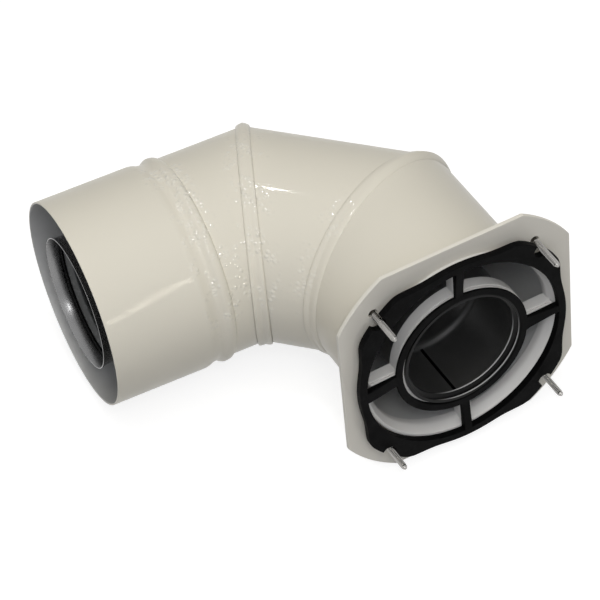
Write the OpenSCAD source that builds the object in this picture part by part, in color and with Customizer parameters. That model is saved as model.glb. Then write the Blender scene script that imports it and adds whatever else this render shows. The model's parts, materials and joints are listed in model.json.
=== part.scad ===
// Concentric flue elbow with a square gasketed flange.
// Millimetres. +Z up as it lies, -Y out of the flange face, socket mouth towards -X.

/* [Air duct] */
// Outside radius of the air duct
duct_r = 50; // [46:0.5:56]
// Sheet thickness of the air duct
duct_wall = 0.8; // [0.6:0.1:1.2]
// Angle taken up by each of the two mitres
bend = 43.5; // [40:0.5:45]
// Flange face to the first mitre, on the centreline
run_out = 69.5; // [62:0.5:80]
// First mitre to the second mitre, on the centreline
run_mid = 64.6; // [58:0.5:75]
// Second mitre to the mouth of the collar, on the centreline
run_in = 95; // [92:0.5:110]
// Outside radius of the collar
collar_r = 51.4; // [51:0.1:58]
// Sheet thickness of the collar
collar_wall = 0.9; // [0.6:0.1:1.2]
// Length of the collar, mouth to the start of its neck
collar_len = 49; // [40:1:49]
// Height of the beads over the duct
bead_h = 2; // [1.2:0.1:3]
// Width of the mitre beads
bead_w = 7; // [4:0.1:8]

/* [Flange] */
// Side of the square plate
plate_side = 122; // [116:1:130]
// Radius that cuts the plate's corners
plate_corner_r = 71.25; // [68:0.25:80]
// Plate thickness
plate_t = 2; // [1.5:0.1:3]
// Screw spacing, both ways
screw_pitch = 85; // [84:1:88]
// Radius of the plate's screw holes
hole_r = 2.25; // [2:0.05:2.8]

/* [Spider and gasket] */
// Height of the spider over the plate face
spider_h = 4; // [3:0.5:6]
// Depth of the spider behind the plate face
spider_back = 4; // [2.4:0.1:6]
// Inside radius of the spider's outer ring, behind the plate face
window_r = 48; // [46:0.5:48]
// How far the inside of the outer ring widens towards the gasket
window_flare = 2.4; // [1:0.1:2.8]
// Outside radius of the spider's inner ring
ring_r = 34.5; // [34:0.5:38]
// How far the inner ring is set back from the outer ring
ring_set = 1.9; // [0.5:0.1:2.2]
// Width of the four spokes
spoke_w = 5; // [4:0.5:8]
// Gasket thickness
gasket_t = 3.5; // [2:0.5:6]
// Radius of the gasket's disc
gasket_r = 55; // [53:0.5:56]
// Side of the gasket's square
gasket_side = 105; // [100:1:108]
// Radius that cuts the gasket's corners
gasket_corner_r = 61.3; // [60:0.1:64]
// Radius of the screw notches in the gasket
notch_r = 3.5; // [2.5:0.1:4.5]

/* [Flue duct] */
// Outside radius of the flue duct
flue_r = 30; // [28:0.5:30]
// Wall of the flue duct
flue_wall = 0.8; // [0.6:0.1:0.8]
// Inside radius of both flue sockets
socket_r = 30.45; // [30.2:0.05:30.6]
// Outside radius of the flue mouth
mouth_r = 34.2; // [34:0.1:36]
// Depth of the flue mouth behind the collar mouth
mouth_back = 1; // [0:0.5:6]

/* [Screws] */
// Shank radius
screw_r = 1.5; // [1.25:0.05:1.75]
// Length of shank beyond the plate face
screw_out = 20; // [15:1:30]
// Head radius
head_r = 3.1; // [2.9:0.1:3.6]
// Head height
head_h = 2.3; // [1.8:0.1:3]

/* [Hidden] */
$fn = 96;
big = 200;
fit_gap = 0.02;
p0 = [0, 0, 0];
p1 = run_out * dir(0);
p2 = p1 + run_mid * dir(bend);
neck_s = run_in - collar_len;
joint_s = 36;
ring_reach = 80;
seam_h = 1.2;
seam_w = 4.4;
tip_h = 0.8;
mouth_s = run_in - mouth_back;
face_y = -spider_h - gasket_t;
ring_y = ring_set - spider_h;
rubber_r = ring_r + 0.8;
slope_r = window_r + window_flare - 0.2;
gasket_window_r = window_r + window_flare + 0.8;
head_y = plate_t + 0.1;
cream = [0.85, 0.83, 0.76];
pale = [0.72, 0.71, 0.69];
black = [0.07, 0.07, 0.07];
steel = [0.62, 0.62, 0.63];
zinc = [0.8, 0.8, 0.8];

// Unit vector at an angle from +Y towards -X.
function dir(a) = [-sin(a), cos(a), 0];

// Child's +Z laid along dir(a) from point p.
module along(p, a) {
  translate(p) rotate([0, 0, a]) rotate([-90, 0, 0]) children();
}

// Half space ahead of the plane through p.
module ahead(p, a) {
  along(p, a) translate([-big, -big, 0]) cube(2 * big);
}

// Half space behind the plane through p.
module behind(p, a) {
  along(p, a) translate([-big, -big, -2 * big]) cube(2 * big);
}

// Straight tube with its own axis.
module tube(p, a, r, t, z0, z1) {
  along(p, a) translate([0, 0, z0]) difference() {
    cylinder(r = r, h = z1 - z0);
    translate([0, 0, -1]) cylinder(r = r - t, h = z1 - z0 + 2);
  }
}

// Solid of revolution about the axis, from a radius and distance outline.
module turned(p, a, outline) {
  along(p, a) rotate_extrude() polygon(outline);
}

// Half of a stepped ring, in the frame of a mitre plane that lies in X and Z.
module half_ring(r, h, w) {
  difference() {
    union() {
      difference() {
        tube(p0, -bend / 2, r + 0.6 * h, 0.6 * h - fit_gap, -ring_reach, ring_reach);
        behind([0, -w / 2, 0], 0);
      }
      difference() {
        tube(p0, -bend / 2, r + h, h - fit_gap, -ring_reach, ring_reach);
        behind([0, -0.3 * w, 0], 0);
      }
    }
    ahead(p0, 0);
  }
}

// Stepped bead laid round the mitre at p, whose plane is turned by m.
module mitre_ring(p, m, r, h, w) {
  translate(p) rotate([0, 0, m]) {
    half_ring(r, h, w);
    mirror([0, 1, 0]) half_ring(r, h, w);
  }
}

// Four screw positions in the flange plane.
module at_screws() {
  for (x = [-1, 1], z = [-1, 1]) {
    translate([x * screw_pitch / 2, z * screw_pitch / 2]) children();
  }
}

// Flat shape drawn in X and Z, thickened along +Y from y0.
module slab(y0, t) {
  translate([0, y0 + t, 0]) rotate([90, 0, 0]) linear_extrude(t) children();
}

// Open socket with a neck that meets the first gore.
module air_collar() {
  ri = collar_r - collar_wall;
  rn = duct_r - duct_wall;
  color(cream) turned(p2, 2 * bend, [
    [rn, joint_s], [duct_r, joint_s], [duct_r, neck_s - 3.5], [collar_r, neck_s],
    [collar_r, run_in - 0.2], [collar_r - 0.2, run_in], [ri + 0.2, run_in], [ri, run_in - 0.2],
    [ri, neck_s + 0.4], [rn, neck_s - 3.1]
  ]);
}

// Rounded ring over the joint of collar and first gore.
module collar_bead() {
  r = duct_r + fit_gap;
  s = joint_s;
  color(cream) turned(p2, 2 * bend, [
    [r, s - 2.2], [duct_r + 0.9, s - 1.6], [duct_r + 1.5, s - 0.4], [duct_r + 1.8, s + 1.4],
    [duct_r + 1.5, s + 2.8], [duct_r + 0.8, s + 3.8], [r, s + 4.2]
  ]);
}

// Short section between the collar and the second mitre.
module air_gore_1() {
  color(cream) difference() {
    tube(p2, 2 * bend, duct_r, duct_wall, -60, joint_s);
    behind(p2, 1.5 * bend);
  }
}

// Standing ridge at the second mitre.
module mitre_bead_2() {
  color(cream) mitre_ring(p2, 1.5 * bend, duct_r, bead_h, bead_w);
}

// Section between the two mitres.
module air_gore_2() {
  color(cream) difference() {
    tube(p1, bend, duct_r, duct_wall, -60, run_mid + 60);
    behind(p1, 0.5 * bend);
    ahead(p2, 1.5 * bend);
  }
}

// Softer ridge at the first mitre.
module mitre_bead_3() {
  color(cream) mitre_ring(p1, 0.5 * bend, duct_r, bead_h, bead_w);
}

// Section from the first mitre into the flange.
module air_outlet() {
  color(cream) difference() {
    tube(p0, 0, duct_r, duct_wall, 0, run_out + 60);
    ahead(p1, 0.5 * bend);
  }
}

// Square plate with arc-cut corners.
module flange_plate() {
  color(cream) slab(0, plate_t) difference() {
    intersection() {
      square(plate_side, center = true);
      circle(r = plate_corner_r);
    }
    circle(r = duct_r + fit_gap);
    at_screws() circle(r = hole_r);
  }
}

// Four spokes from an outline of radius and depth.
module spokes(outline) {
  for (a = [0, 90, 180, 270]) {
    rotate([0, a, 0]) translate([0, 0, -spoke_w / 2]) linear_extrude(spoke_w) polygon(outline);
  }
}

// Pale casting: flared outer ring on the plate, four spokes, inner ring set back on the flue.
module spider() {
  inner = duct_r - duct_wall - fit_gap;
  bore = socket_r + flue_wall + fit_gap;
  flared = window_r + window_flare;
  color(pale) union() {
    turned(p0, 0, [
      [flared, -spider_h], [duct_r + 3, -spider_h], [duct_r + 3, 0], [inner, 0],
      [inner, spider_back], [window_r, spider_back], [window_r, 0.5]
    ]);
    turned(p0, 0, [
      [bore, ring_y], [ring_r, ring_y], [ring_r, spider_back], [bore, spider_back]
    ]);
    spokes([
      [ring_r - 1, ring_y], [rubber_r, ring_y], [slope_r, -spider_h], [flared + 0.6, -spider_h],
      [flared + 0.6, -0.5], [window_r + 0.7, -0.5], [window_r + 0.7, spider_back],
      [ring_r - 1, spider_back]
    ]);
  }
}

// Rubber sheet with screw notches, and a ring set back on sloping spokes.
module gasket() {
  back_y = face_y + gasket_t;
  color(black) union() {
    slab(face_y, gasket_t) difference() {
      union() {
        circle(r = gasket_r);
        intersection() {
          square(gasket_side, center = true);
          circle(r = gasket_corner_r);
        }
      }
      circle(r = gasket_window_r);
      at_screws() circle(r = notch_r);
    }
    slab(face_y + ring_set, gasket_t) difference() {
      circle(r = rubber_r);
      circle(r = socket_r + flue_wall + 0.2);
    }
    spokes([
      [ring_r - 1, face_y + ring_set], [rubber_r, face_y + ring_set], [slope_r, face_y],
      [gasket_window_r + 1, face_y], [gasket_window_r + 1, back_y], [slope_r, back_y],
      [rubber_r, back_y + ring_set], [ring_r - 1, back_y + ring_set]
    ]);
  }
}

// Seal with two lips, seated in the spider's inner ring.
module inlet_seal() {
  r = socket_r + flue_wall;
  y = ring_y + 0.5;
  color(black) turned(p0, 0, [
    [r, y - 3.6], [r, y], [r - 1.25, y], [r - 2.65, y + 0.4], [r - 3.15, y], [r - 2.95, y - 0.6],
    [r - 0.95, y - 1.8], [r - 0.95, y - 2.3], [r - 1.75, y - 3], [r - 1.65, y - 3.6]
  ]);
}

// Flue socket in the spider, stepped down towards the first mitre.
module flue_inlet() {
  ri = flue_r - flue_wall;
  y = ring_y + 0.52;
  color(steel) difference() {
    union() {
      tube(p0, 0, flue_r, flue_wall, 34, run_out + 40);
      turned(p0, 0, [
        [socket_r, y], [socket_r + flue_wall, y], [socket_r + flue_wall, 31], [flue_r, 34],
        [ri, 34], [ri, 33.2], [socket_r, 30.6]
      ]);
    }
    ahead(p1, 0.5 * bend);
  }
}

// Flue section between the two mitres.
module flue_gore() {
  color(steel) difference() {
    tube(p1, bend, flue_r, flue_wall, -40, run_mid + 40);
    behind(p1, 0.5 * bend);
    ahead(p2, 1.5 * bend);
  }
}

// Flue section with the socket and widened mouth.
module flue_mouth() {
  ri = flue_r - flue_wall;
  ro = socket_r + flue_wall;
  mi = mouth_r - flue_wall;
  s = mouth_s;
  color(steel) difference() {
    union() {
      tube(p2, 2 * bend, flue_r, flue_wall, -40, s - 44);
      turned(p2, 2 * bend, [
        [ri, s - 44], [flue_r, s - 44], [ro, s - 41], [ro, s - 15], [mouth_r, s - 13],
        [mouth_r, s - 0.4], [mouth_r - 0.4, s], [mi - 0.2, s], [mi - 0.6, s - 0.4],
        [mi - 0.6, s - 1], [mi, s - 1.6], [mi, s - 12.4], [socket_r, s - 14.2],
        [socket_r, s - 40.6], [ri, s - 43.2]
      ]);
    }
    behind(p2, 1.5 * bend);
  }
}

// Folded seam round the flue at the first mitre.
module flue_seam_1() {
  color(steel) mitre_ring(p1, 0.5 * bend, flue_r, seam_h, seam_w);
}

// Folded seam round the flue at the second mitre.
module flue_seam_2() {
  color(steel) mitre_ring(p2, 1.5 * bend, flue_r, seam_h, seam_w);
}

// Lip seal in the widened mouth.
module mouth_seal() {
  ro = mouth_r - flue_wall - fit_gap;
  s = mouth_s;
  color(black) turned(p2, 2 * bend, [
    [ro, s - 12.3], [ro, s - 8.6], [ro - 0.8, s - 8.2], [socket_r - 0.2, s - 10.6],
    [socket_r - 0.2, s - 11.4], [ro - 1.8, s - 12], [ro - 1.8, s - 12.3]
  ]);
}

// Band round the flue with three fingers that reach the duct wall.
module centring_clip() {
  r = flue_r + fit_gap;
  reach = duct_r - duct_wall - fit_gap;
  color(zinc) along(p2, 2 * bend) translate([0, 0, 24]) {
    difference() {
      union() {
        cylinder(r = flue_r + 0.8, h = 9);
        intersection() {
          cylinder(r = reach, h = 1);
          for (a = [0, 120, 240]) {
            rotate([0, 0, a]) translate([flue_r - 2, -4, 0]) cube([reach, 8, 1]);
          }
        }
      }
      translate([0, 0, -1]) cylinder(r = r, h = 11);
    }
  }
}

// Pan-head screw with a cross recess, head behind the plate and a plain neck through it.
module screw(x, z) {
  color(zinc) translate([x, head_y, z]) rotate([90, 0, 0]) {
    difference() {
      union() {
        cylinder(r = 0.9 * screw_r, h = head_y);
        translate([0, 0, head_y]) cylinder(r = screw_r, h = screw_out - tip_h);
        translate([0, 0, head_y + screw_out - tip_h]) cylinder(r1 = screw_r, r2 = 0.7, h = tip_h);
        translate([0, 0, -1]) cylinder(r = head_r, h = 1);
        translate([0, 0, -head_h]) cylinder(r1 = 0.68 * head_r, r2 = head_r, h = head_h - 1);
      }
      translate([-1.6, -0.4, -head_h - 0.1]) cube([3.2, 0.8, 1.3]);
      translate([-0.4, -1.6, -head_h - 0.1]) cube([0.8, 3.2, 1.3]);
    }
  }
}

// Upper screw on the collar side.
module screw_tl() {
  screw(-screw_pitch / 2, screw_pitch / 2);
}

// Upper screw on the far side.
module screw_tr() {
  screw(screw_pitch / 2, screw_pitch / 2);
}

// Lower screw on the collar side.
module screw_bl() {
  screw(-screw_pitch / 2, -screw_pitch / 2);
}

// Lower screw on the far side.
module screw_br() {
  screw(screw_pitch / 2, -screw_pitch / 2);
}

air_collar();
collar_bead();
air_gore_1();
mitre_bead_2();
air_gore_2();
mitre_bead_3();
air_outlet();
flange_plate();
spider();
gasket();
inlet_seal();
flue_inlet();
flue_gore();
flue_mouth();
flue_seam_1();
flue_seam_2();
mouth_seal();
centring_clip();
screw_tl();
screw_tr();
screw_bl();
screw_br();
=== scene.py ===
"""Looks of a concentric flue elbow, laid out as an add-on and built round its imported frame."""

import json
import math

import bmesh
import bpy
from bpy.props import FloatProperty, FloatVectorProperty, IntProperty, PointerProperty
from mathutils import Matrix, Vector


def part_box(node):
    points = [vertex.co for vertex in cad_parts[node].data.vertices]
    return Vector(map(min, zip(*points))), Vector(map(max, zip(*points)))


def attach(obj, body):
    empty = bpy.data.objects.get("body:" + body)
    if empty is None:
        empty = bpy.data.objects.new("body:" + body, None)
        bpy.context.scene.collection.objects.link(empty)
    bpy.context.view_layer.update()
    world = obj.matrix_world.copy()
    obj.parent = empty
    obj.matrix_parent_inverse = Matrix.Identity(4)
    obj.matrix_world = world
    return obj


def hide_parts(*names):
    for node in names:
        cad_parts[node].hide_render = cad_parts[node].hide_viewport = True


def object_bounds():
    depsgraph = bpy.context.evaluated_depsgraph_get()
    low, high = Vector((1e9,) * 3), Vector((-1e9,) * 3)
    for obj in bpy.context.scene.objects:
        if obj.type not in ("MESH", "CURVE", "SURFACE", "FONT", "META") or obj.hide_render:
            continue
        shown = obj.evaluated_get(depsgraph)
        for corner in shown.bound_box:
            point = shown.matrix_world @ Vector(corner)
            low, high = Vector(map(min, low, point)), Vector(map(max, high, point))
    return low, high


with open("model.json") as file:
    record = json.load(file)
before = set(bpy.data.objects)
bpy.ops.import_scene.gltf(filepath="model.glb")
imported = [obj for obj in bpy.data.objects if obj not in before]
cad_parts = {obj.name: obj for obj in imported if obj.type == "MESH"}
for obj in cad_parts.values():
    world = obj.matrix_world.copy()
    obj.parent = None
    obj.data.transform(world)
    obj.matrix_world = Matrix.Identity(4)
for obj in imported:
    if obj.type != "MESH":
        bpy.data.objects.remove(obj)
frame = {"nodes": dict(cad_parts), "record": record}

bl_info = {
    "name": "Flue Elbow",
    "version": (1, 0, 0),
    "blender": (4, 5, 0),
    "location": "View3D > Sidebar > Flue Elbow",
    "description": "Models and dresses a concentric flue elbow with a gasketed flange",
    "category": "Add Mesh",
}

CAD_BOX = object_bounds()
MM = 0.001
ELBOW = "elbow"
SCREWS = ("screw_tl", "screw_tr", "screw_bl", "screw_br")
MOUNTS = {mount["name"]: mount for mount in frame["record"]["mounts"]}

# Places read from the frame
MOUTH_CENTRE = Vector(MOUNTS["air_socket"]["pos_m"])
MOUTH_AXIS = Vector(MOUNTS["air_socket"]["axis"])
SCREW_PITCH = MOUNTS["flange_screws"]["dims"]["spacing_x_mm"] * MM
SCREW_RADIUS = MOUNTS["flange_screws"]["dims"]["stud_r_mm"] * MM
SOCKET_RADIUS = MOUNTS["flue_socket"]["dims"]["r_mm"] * MM
COLLAR_RADIUS = MOUNTS["collar_outside"]["dims"]["r_mm"] * MM
PLATE_LOW, PLATE_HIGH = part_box("flange_plate")
SPIDER_LOW, SPIDER_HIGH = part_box("spider")
GASKET_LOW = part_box("gasket")[0]
SCREW_LOW, SCREW_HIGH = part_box("screw_tl")
DUCT_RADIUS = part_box("air_outlet")[1].x
BEND = math.atan2(-MOUTH_AXIS.x, MOUTH_AXIS.y) / 2
FIRST_MITRE = BEND / 2
SECOND_MITRE = 1.5 * BEND
QUARTER = math.pi / 2

# The gasket lies a little to one side, and its strips hang: (hang, hang, flare, flare) at the outer
# and the inner end of the right, bottom, left and top strip. A share at both ends lies flat
GASKET_SHIFT = (-1.2 * MM, 0, 0)
STRIP_FLAT = 0.1
STRIP_HANGS = (
    (0.3 * MM, -2.4 * MM, 1.0, 2.2), (0.1 * MM, 0.1 * MM, 1.0, 1.2),
    (1.2 * MM, 0.6 * MM, 1.5, 1.5), (-0.1 * MM, -0.1 * MM, 1.0, 1.1))

# Lap seam of the inlet socket: its angle from +X towards +Z, its place in X and Z, and its gap
LAP_ANGLE = math.radians(-96)
LAP_PLACE = SOCKET_RADIUS * Vector((math.cos(LAP_ANGLE), math.sin(LAP_ANGLE)))
LAP_LENGTH = 31 * MM
LAP_WIDTH = 1.3 * MM
LAP_DEPTH = 1.2 * MM

# Workshop values: clearance and overlap of joints, reach of a pick and of a merge, stock, tools and sides
FIT = 0.02 * MM
OVERLAP = 0.05 * MM
PICK_REACH = 0.01 * MM
LEVEL_REACH = 0.001 * MM
MERGE_REACH = 0.002 * MM
THREAD_MERGE_REACH = 0.0005 * MM
STOCK_RADII = 8
FLUE_STOCK = 300 * MM
DRILL_LENGTH = 60 * MM
WIDE_BORE = 10 * MM
HOLE_SIDES = 32
SCREW_SIDES = 40
THREAD_STEPS = 20
ROUND_STEPS = 5

# Paint: relief in millimetres and scales in turns for each metre. The lumps keep to bands beside the
# beads, and fade out between two distances from a place at the front of the bend
FINE_PEEL = 0.003
COLLAR_PEEL = 0.03
PEEL_SCALE = 420
LUMP_HEIGHT = 0.38
LUMP_SCALE = 400
LUMP_PATCH_SCALE = 90
LUMP_BAND = 13 * MM
LUMP_CENTRE = (-70 * MM, 90 * MM, 45 * MM)
LUMP_REACH = (32 * MM, 64 * MM)

# Side of the seal lips that gets a painted glint, the distances towards it between which the painted glint
# grows, and its width
PAINTED_GLINT_SIDE = (0.6, 0, -0.8)
PAINTED_GLINT_REACH = (8 * MM, 26 * MM)
PAINTED_GLINT_WIDTH = 0.4 * MM

# Metal: range of roughness, how the scratches run, and their depth in millimetres
FLUE_ROUGHNESS = (0.36, 0.48)
MOUTH_ROUGHNESS = (0.25, 0.31)
CLIP_ROUGHNESS = (0.22, 0.34)
SCREW_ROUGHNESS = (0.18, 0.32)
FLUE_SCRATCH_AXIS = (0, 0, 0.5)
CLIP_SCRATCH_AXIS = (0, 0, 0.8)
SCREW_SCRATCH_AXIS = (0, 0.9, 0)
SCRATCH_SCALE = 1800
SCRATCH_STRETCH = 0.97
SCRATCH_DEPTH = 0.002
MOUTH_SCRATCH_DEPTH = 0.0005

# Range that holds most of a noise, and the colour sockets of a mix node
NOISE_RANGE = (0.3, 0.7)
MIX_COLOUR_INPUTS = (6, 7)
MIX_COLOUR_OUTPUT = 2

# Soft light of the surroundings, and the floor: its glow to the camera, side and gap to the part
FILL_LEVEL = 0.08
FRONT_TOWARDS = (-0.295, -0.644, 0.706)
FRONT_LEVEL = 1.48
TOP_TOWARDS = (-0.1, -0.25, 0.96)
TOP_LEVEL = 2.2
SOFT_FOCUS = 10.0
FLOOR_GLOW = 0.8
FLOOR_SIDE = 6
FLOOR_GAP = 0.2 * MM

# Camera: azimuth, elevation and roll in degrees, then its aim, distance, lens and sensor
CAMERA_TURNS = (-24.62, 44.86, -6.23)
CAMERA_AIM = Vector((-49.8, 60.3, 4.5)) * MM
CAMERA_DISTANCE = 1461.85 * MM
CAMERA_LENS = 187.81
CAMERA_SENSOR = 36

# Small lamps: name, place and aim in mm, direction of the long side, length, width, watts, tint
LAMPS = (
    ("streak_lamp", (-136, 396, 1000), (-46, 96, 48), (1, 0, 0), 0.03, 0.03, 0.5, (1, 1, 1)),
    ("ceiling_lamp", (-115, -20, 1012), (-60, 90, 44), (1, 0, 0), 0.1, 0.1, 1.2, (1, 1, 1)),
    ("low_strip", (48, -850, 340), (-120, 76, 27), (0.31, 0.33, 0.89), 0.29, 0.012, 0.3, (1, 0.94, 0.78)),
    ("mouth_lamp", (-259, -542, 749), (-139, 121, 0), (1, 0, 0), 0.15, 0.15, 1.1, (1, 1, 1)))


def heading(angle):
    """Unit vector at an angle from +Y towards -X."""
    return Vector((-math.sin(angle), math.cos(angle), 0))


def length_property(name, description, millimetres):
    """One length of the sizes panel."""
    return FloatProperty(
        name=name, description=description, default=millimetres * MM, unit="LENGTH")


class ElbowSizes(bpy.types.PropertyGroup):
    """Sizes of the elbow's sheet metal, rubber and screws."""

    sides: IntProperty(
        name="Sides", description="Sides of a round piece", default=192, min=48, max=360)
    run_in: length_property("Mouth run", "Second mitre to the mouth of the collar", 95)
    joint: length_property("Joint", "Second mitre to the joint of the collar", 36)
    collar_length: length_property("Collar length", "Mouth of the collar to the start of its neck", 49)
    neck_length: length_property("Neck length", "Length over which the collar narrows to the duct", 3.5)
    sheet: length_property("Sheet", "Sheet thickness of the ducts", 0.8)
    collar_sheet: length_property("Collar sheet", "Sheet thickness of the collar", 0.9)
    bead_height: length_property("Bead height", "Height of the beads over the duct", 1.6)
    bead_width: length_property("Bead width", "Width of the mitre beads", 7)
    plate_corner: length_property("Plate corner", "Radius that cuts the plate's corners", 71.25)
    hole_radius: length_property("Screw hole", "Radius of the plate's screw holes", 2.25)
    window_radius: length_property("Window radius", "Inside radius of the spider's outer ring", 48)
    window_flare: length_property(
        "Window flare", "How far the outer ring's inside widens to the front", 2.4)
    ring_radius: length_property("Ring radius", "Outside radius of the spider's inner ring", 34.5)
    ring_set: length_property("Ring setback", "How far the gasket's ring lies behind its sheet", 1.9)
    rim_set: length_property(
        "Rim setback", "How far the inner ring's rim lies behind the outer ring", 0.2)
    rim_depth: length_property(
        "Rim depth", "Depth of the inner ring's rim and of the groove behind it", 0.9)
    spoke_width: length_property("Spoke width", "Width of the spider's spokes", 5)
    strip_width: length_property("Strip width", "Width of the gasket's spokes", 4.2)
    gasket_disc: length_property("Gasket disc", "Radius of the gasket's disc", 55)
    gasket_side: length_property("Gasket side", "Side of the gasket's square", 105)
    gasket_corner: length_property("Gasket corner", "Radius that cuts the gasket's corners", 61.3)
    gasket_blend: length_property("Gasket blend", "Softness of the bends in the gasket's outline", 0.9)
    notch_radius: length_property("Notch", "Radius of the screw notches in the gasket", 3.5)
    flue_radius: length_property("Flue radius", "Outside radius of the flue duct", 30)
    mouth_radius: length_property("Flue mouth", "Outside radius of the flue's widened mouth", 34.2)
    mouth_back: length_property("Mouth depth", "Depth of the flue mouth behind the collar mouth", 1)
    head_radius: length_property("Screw head", "Radius of the screw heads", 3.1)
    head_height: length_property("Head height", "Height of the screw heads", 2.3)
    thread_pitch: length_property("Thread pitch", "Rise of the screw thread in one turn", 0.8)


def colour_property(name, description, default):
    """One colour of the finish panel."""
    return FloatVectorProperty(
        name=name, description=description, subtype="COLOR", size=3, min=0, max=1, default=default)


class ElbowFinish(bpy.types.PropertyGroup):
    """Colours of the elbow and its stage, as linear values."""

    cream: colour_property("Cream", "Stove paint on the air duct", (0.78, 0.745, 0.645))
    cream_thin: colour_property("Thin cream", "Paint where it runs thin", (0.75, 0.713, 0.618))
    # The same cream paint as the duct, set a little paler as painted light for the dimmer light on the
    # plate's face.
    flange: colour_property("Flange", "Paint on the flange plate", (0.83, 0.797, 0.718))
    casting: colour_property("Casting", "Pale spider", (0.7, 0.69, 0.67))
    rubber: colour_property("Rubber", "Black gasket", (0.0018, 0.0018, 0.0019))
    # This black also serves as painted shade in the flue's lap seam gap.
    lip: colour_property("Lip", "Glossy seal lips", (0.003, 0.003, 0.003))
    mouth_lip: colour_property("Mouth seal", "Grey rubber of the mouth's lip seal", (0.075, 0.077, 0.076))
    bare: colour_property("Bare sheet", "Inside of the air duct", (0.62, 0.62, 0.61))
    # Painted glint: a pale grey on the lip tips towards one side, standing in for the light they reflect.
    painted_lip_glint: colour_property("Glinting lip", "Shining edges of the seal lips", (0.5, 0.5, 0.5))
    soot: colour_property("Sooty flue", "Dull inner sections of the flue", (0.3, 0.3, 0.3))
    flue: colour_property("Flue", "Drawn metal of the flue", (0.27, 0.27, 0.272))
    zinc: colour_property("Zinc", "Plate on the screws", (0.4, 0.39, 0.375))
    floor: colour_property("Floor", "Plain floor", (0.4, 0.4, 0.4))
    fill: colour_property("Fill light", "Cool light from all round and from the front", (0.81, 0.86, 1.0))
    key: colour_property("Key light", "Warm light from above", (1.0, 0.945, 0.8))


# Edit-mode helpers


def deselect():
    """Leave every object unselected, in object mode."""
    if bpy.context.mode != "OBJECT":
        bpy.ops.object.mode_set(mode="OBJECT")
    bpy.ops.object.select_all(action="DESELECT")


def choose(*pieces):
    """Select only these pieces, with the last of them active."""
    deselect()
    for piece in pieces:
        piece.select_set(True)
    bpy.context.view_layer.objects.active = pieces[-1]


def settle():
    """Put the chosen object's place, turn and scale into its mesh, and give it back."""
    bpy.ops.object.transform_apply(location=True, rotation=True, scale=True)
    return bpy.context.object


def drop(piece):
    """Remove an object and its mesh."""
    shape = piece.data
    bpy.data.objects.remove(piece)
    bpy.data.meshes.remove(shape)


def begin(select="VERT"):
    """Open the new object for editing, all of it selected."""
    bpy.ops.object.mode_set(mode="EDIT")
    bpy.ops.mesh.select_mode(type=select)
    bpy.ops.mesh.select_all(action="SELECT")


def pick(test):
    """Select the vertices that pass a test."""
    bpy.ops.mesh.select_all(action="DESELECT")
    shape = bpy.context.object.data
    mesh = bmesh.from_edit_mesh(shape)
    for corner in mesh.verts:
        corner.select_set(test(corner.co))
    mesh.select_flush_mode()
    bmesh.update_edit_mesh(shape)


def end():
    """Return to object mode and give back the object."""
    bpy.ops.object.mode_set(mode="OBJECT")
    return bpy.context.object


def cut(point, normal, keep="both"):
    """Bisect everything with a plane, and keep one side of it or both."""
    bpy.ops.mesh.select_all(action="SELECT")
    bpy.ops.mesh.bisect(
        plane_co=point, plane_no=normal, clear_inner=keep == "ahead", clear_outer=keep == "behind")


def trim(*cuts):
    """Cut the new object at planes, each with a point, a normal and the side to keep."""
    begin()
    for point, normal, keep in cuts:
        cut(point, normal, keep)
    end()


def tidy():
    """Merge doubles and turn every face outwards."""
    bpy.ops.mesh.select_all(action="SELECT")
    bpy.ops.mesh.remove_doubles(threshold=MERGE_REACH)
    bpy.ops.mesh.normals_make_consistent(inside=False)


def modify(piece, kind, **settings):
    """Add one modifier, set it and apply it."""
    bpy.context.view_layer.objects.active = piece
    added = piece.modifiers.new(kind.title(), kind)
    for name, value in settings.items():
        setattr(added, name, value)
    bpy.ops.object.modifier_apply(modifier=added.name)


def thicken(piece, wall, finishes=()):
    """Give a sheet its thickness inwards, with finishes for its outside and its inside."""
    for finish in finishes:
        piece.data.materials.append(finish)
    modify(
        piece, "SOLIDIFY", thickness=wall, offset=-1, use_even_offset=True,
        material_offset=max(0, len(finishes) - 1))


def soften(piece, width, segments=3, angle=40):
    """Round the edges that turn by more than an angle."""
    modify(
        piece, "BEVEL", width=width, segments=segments, limit_method="ANGLE",
        angle_limit=math.radians(angle), harden_normals=False)


def carve(piece, cutter, operation="DIFFERENCE"):
    """Cut one solid with another, or join them, and drop the cutter."""
    modify(piece, "BOOLEAN", object=cutter, operation=operation, solver="EXACT")
    drop(cutter)


def smooth(piece, angle=35):
    """Shade smooth, with creases kept where faces turn sharply."""
    choose(piece)
    bpy.ops.object.shade_smooth_by_angle(angle=math.radians(angle))
    modify(piece, "WEIGHTED_NORMAL", mode="FACE_AREA", weight=50, keep_sharp=True)


def place(piece, location=(0, 0, 0), turn=(0, 0, 0)):
    """Turn a piece, move it and settle both into its mesh."""
    choose(piece)
    piece.rotation_euler = turn
    piece.location = location
    settle()


def hand_over(piece, name, body, material, nodes):
    """Name a finished piece, paint it if it is bare and put it in place of its nodes."""
    piece.name = name
    piece.data.name = name
    if not piece.data.materials:
        piece.data.materials.append(material)
    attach(piece, body)
    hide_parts(*nodes)


# Shapes that repeat


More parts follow.
